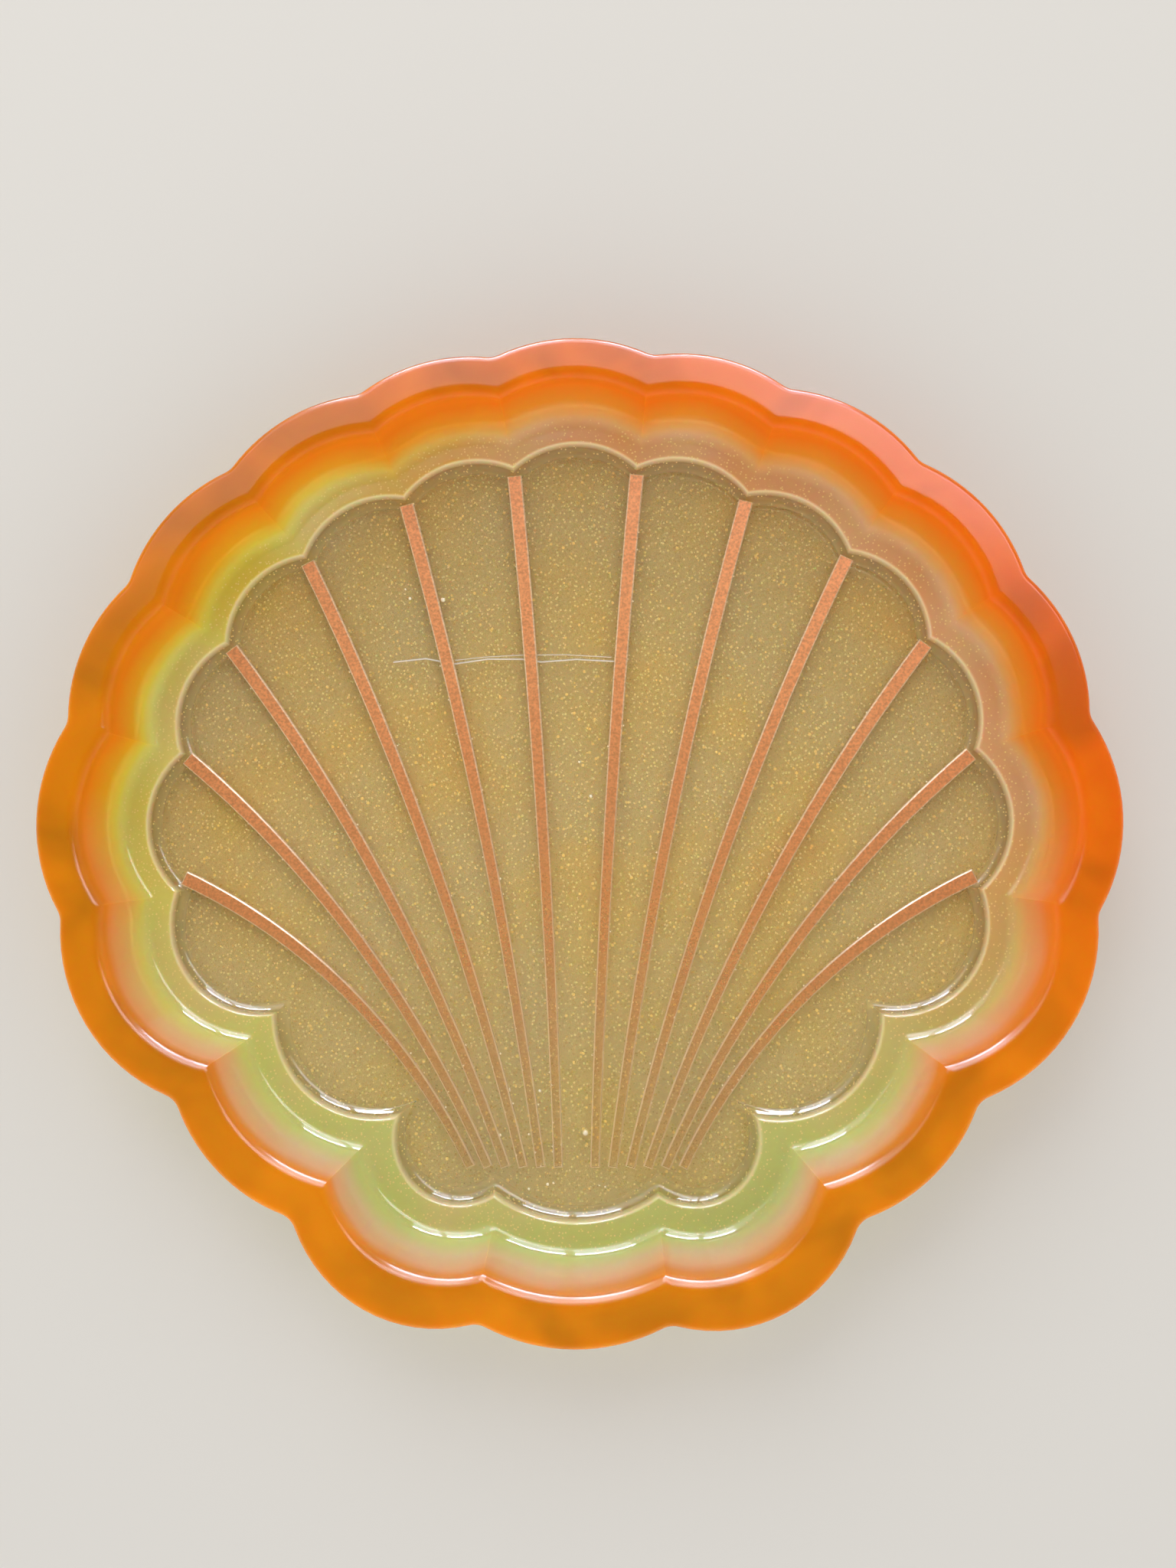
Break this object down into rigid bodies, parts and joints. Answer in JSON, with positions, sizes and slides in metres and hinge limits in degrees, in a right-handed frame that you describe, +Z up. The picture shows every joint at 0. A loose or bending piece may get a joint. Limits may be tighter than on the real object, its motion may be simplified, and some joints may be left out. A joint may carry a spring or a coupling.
{
  "type": "scallop shell tray",
  "caption": "Shallow scallop shell tray cast in tinted resin, with a broad flat rim, a sloping wall, a ledge, a sunk floor and raised rays that fan out from the hinge.",
  "frame": {"origin": "middle of the flat underside, centred on the outline's width and depth", "axes": "+Z up, +Y from the hinge of the shell to the middle of the fan, +X to the right"},
  "size_m": [0.2108, 0.1958, 0.02],
  "materials": {
    "orange_resin": "orange tinted cast resin, glossy",
    "amber_resin": "amber tinted cast resin, glossy and translucent",
    "clear_resin": "clear cast resin with fine gold flecks, glossy",
    "copper_resin": "copper pigment in clear cast resin, glossy"
  },
  "bodies": {
    "root": {"rim_pour": "orange_resin", "wall_pour": "amber_resin", "base_pour": "clear_resin", "ray_01": "copper_resin", "ray_02": "copper_resin", "ray_03": "copper_resin", "ray_04": "copper_resin", "ray_05": "copper_resin", "ray_06": "copper_resin", "ray_07": "copper_resin", "ray_08": "copper_resin", "ray_09": "copper_resin", "ray_10": "copper_resin", "ray_11": "copper_resin", "ray_12": "copper_resin"}
  },
  "joints": []
}
